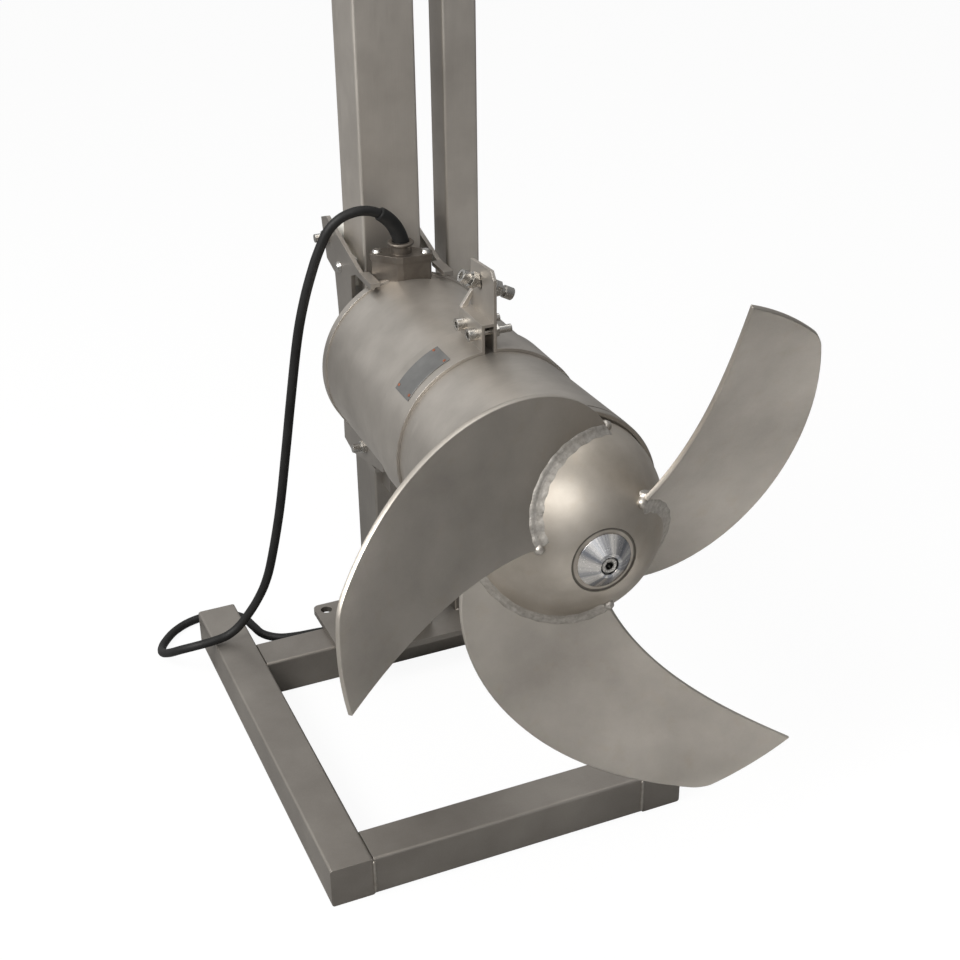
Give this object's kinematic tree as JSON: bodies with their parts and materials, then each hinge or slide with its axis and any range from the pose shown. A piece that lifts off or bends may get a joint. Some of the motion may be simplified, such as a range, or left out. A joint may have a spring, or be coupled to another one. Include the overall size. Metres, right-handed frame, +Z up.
{
  "type": "submersible mixer",
  "caption": "Submersible mixer with swept propeller blades on a sliding carriage, guided by a square rail on a floor frame, with its power cable.",
  "frame": {"origin": "on the floor under the middle of the guide rail, in the underside of the rear base tube", "axes": "+X to the right, +Y to the back, +Z up the guide rail; the propeller faces -Y"},
  "size_m": [0.7079, 1.2147, 1.2],
  "materials": {
    "stainless": "satin",
    "bright_steel": "bright",
    "iron": "plain",
    "copper": "satin",
    "rubber": "matt",
    "nylon": "matt",
    "plate": "satin"
  },
  "bodies": {
    "stand": {"base_left_tube": "stainless", "base_right_tube": "stainless", "base_front_tube": "stainless", "base_rear_tube": "stainless", "base_end_caps": "stainless", "rail_foot_plate": "stainless", "guide_rail": "stainless", "hoist_mast": "stainless", "post_caps": "stainless", "rail_stop": "stainless", "floor_cable": "rubber", "cable_coil": "rubber"},
    "carriage": {"carriage_left_plate": "stainless", "carriage_right_plate": "stainless", "carriage_cross_bar": "stainless", "guide_pads": "nylon", "guide_pad_bolts": "bright_steel", "roller_axles": "bright_steel", "roller_nuts": "bright_steel", "motor_casing": "stainless", "rear_cover": "stainless", "front_cover": "stainless", "bearing_bracket": "iron", "stator_core": "iron", "stator_windings": "copper", "rear_bearing_outer": "bright_steel", "rear_bearing_balls": "bright_steel", "front_bearing_outer": "bright_steel", "front_bearing_balls": "bright_steel", "seal_seat": "iron", "cover_o_rings": "rubber", "clamp_band": "stainless", "clamp_screws": "bright_steel", "clamp_nuts": "bright_steel", "lifting_bolt": "bright_steel", "lifting_nuts": "bright_steel", "gland_block": "stainless", "gland_flange": "stainless", "gland_screws": "bright_steel", "gland_ring": "stainless", "cable_boot": "rubber", "nameplate": "plate", "nameplate_rivets": "copper", "power_cable": "rubber"},
    "rotor": {"shaft": "bright_steel", "rotor_core": "iron", "shaft_key": "bright_steel", "rear_bearing_inner": "bright_steel", "front_bearing_inner": "bright_steel", "seal_ring": "bright_steel", "hub_shell": "stainless", "hub_boss": "stainless", "hub_back_plate": "stainless", "blade_1": "stainless", "blade_2": "stainless", "blade_3": "stainless", "nose_cap": "bright_steel", "nose_screw": "bright_steel"},
    "upper_roller": {"guide_roller_upper": "nylon"},
    "lower_roller": {"guide_roller_lower": "nylon"}
  },
  "joints": [
    {"name": "carriage_slide", "type": "slide", "parent": "stand", "child": "carriage", "axis": [0, 0, 1], "range_m": [0, 0.4]},
    {"name": "propeller_spin", "type": "hinge", "parent": "carriage", "child": "rotor", "pos_m": [0, -0.3, 0.558], "axis": [0, 1, 0], "continuous": true},
    {"name": "upper_roller_spin", "type": "hinge", "parent": "carriage", "child": "upper_roller", "pos_m": [0, 0.0598, 0.695], "axis": [1, 0, 0], "continuous": true},
    {"name": "lower_roller_spin", "type": "hinge", "parent": "carriage", "child": "lower_roller", "pos_m": [0, -0.0598, 0.415], "axis": [1, 0, 0], "continuous": true}
  ],
  "couplings": [
    {"joint": "upper_roller_spin", "follows": "carriage_slide", "rad_per_m": 58.824},
    {"joint": "lower_roller_spin", "follows": "carriage_slide", "rad_per_m": -58.824}
  ]
}
